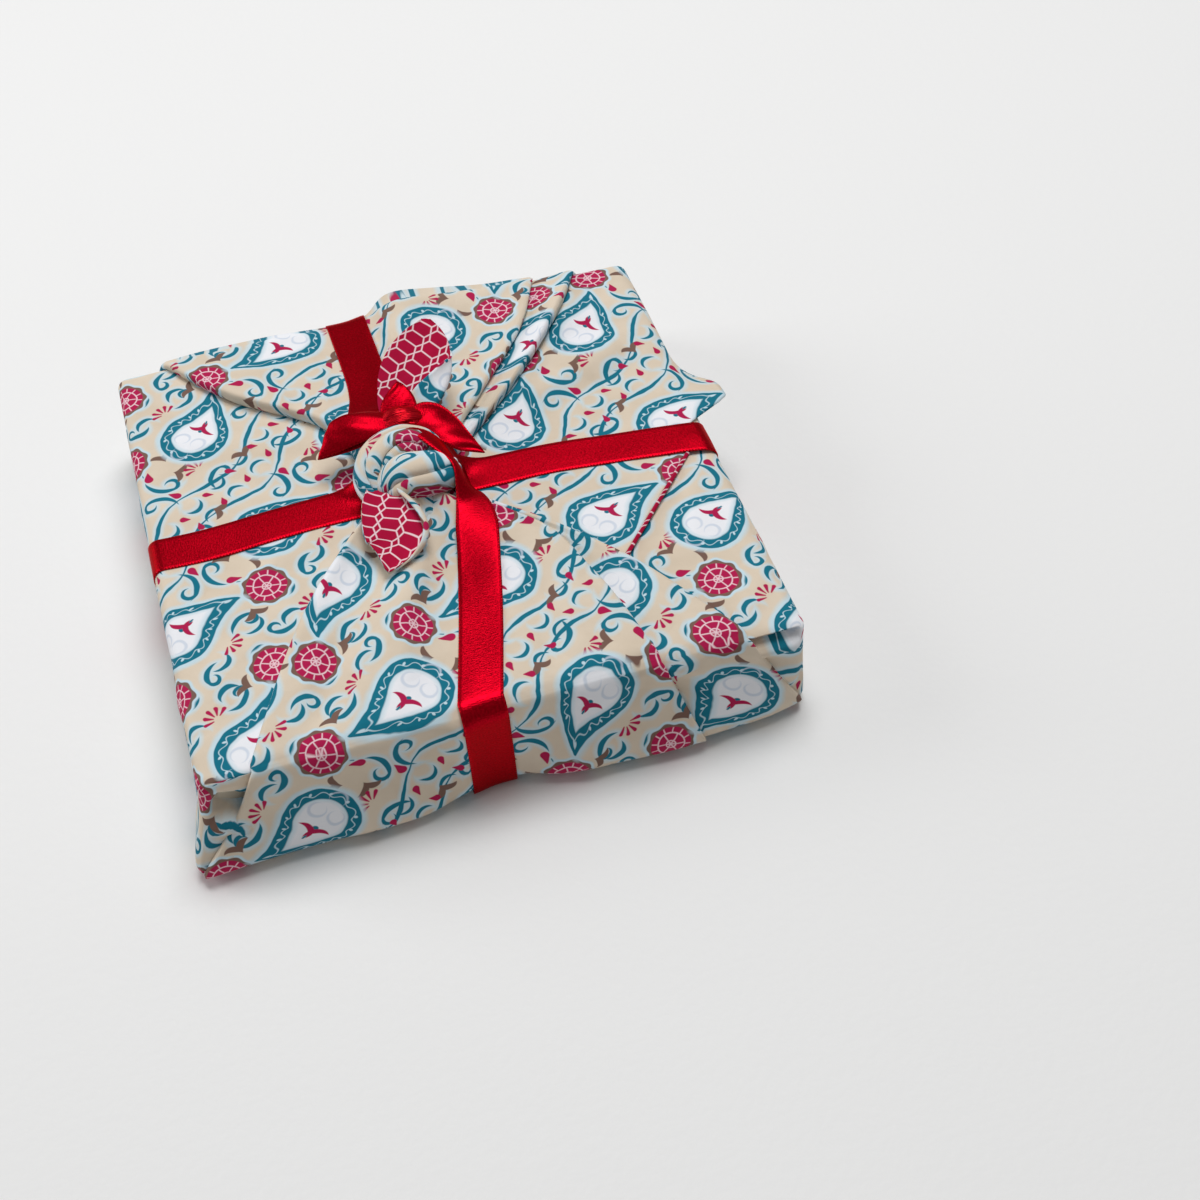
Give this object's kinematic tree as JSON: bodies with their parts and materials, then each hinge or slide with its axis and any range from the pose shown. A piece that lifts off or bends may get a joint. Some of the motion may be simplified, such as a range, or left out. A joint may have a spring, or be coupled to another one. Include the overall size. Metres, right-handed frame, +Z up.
{
  "type": "furoshiki wrap on a gift box",
  "caption": "Flat square gift box wrapped in a double-faced printed cloth, knotted on top with its corners standing out, and tied crosswise with a satin ribbon and small bow.",
  "frame": {"origin": "middle of the box's footprint at the surface it lies on, on the flat underside of the ribbon", "axes": "+Z up; the front edge of the parcel faces -Y; the outer flap's pointed corner passes the +X edge"},
  "size_m": [0.2176, 0.216, 0.0672],
  "materials": {
    "box_card": "plain uncoated card",
    "printed_cloth": "fine crepe weave with an all-over floral print",
    "lining_cloth": "fine crepe weave with a pale lattice print",
    "satin_ribbon": "satin weave with a fine picot selvedge"
  },
  "bodies": {
    "root": {"gift_box": "box_card", "furoshiki_cloth": "printed_cloth", "lining_front_tail": "lining_cloth", "lining_back_tail": "lining_cloth", "lining_hem": "lining_cloth", "ribbon": "satin_ribbon"}
  },
  "joints": []
}
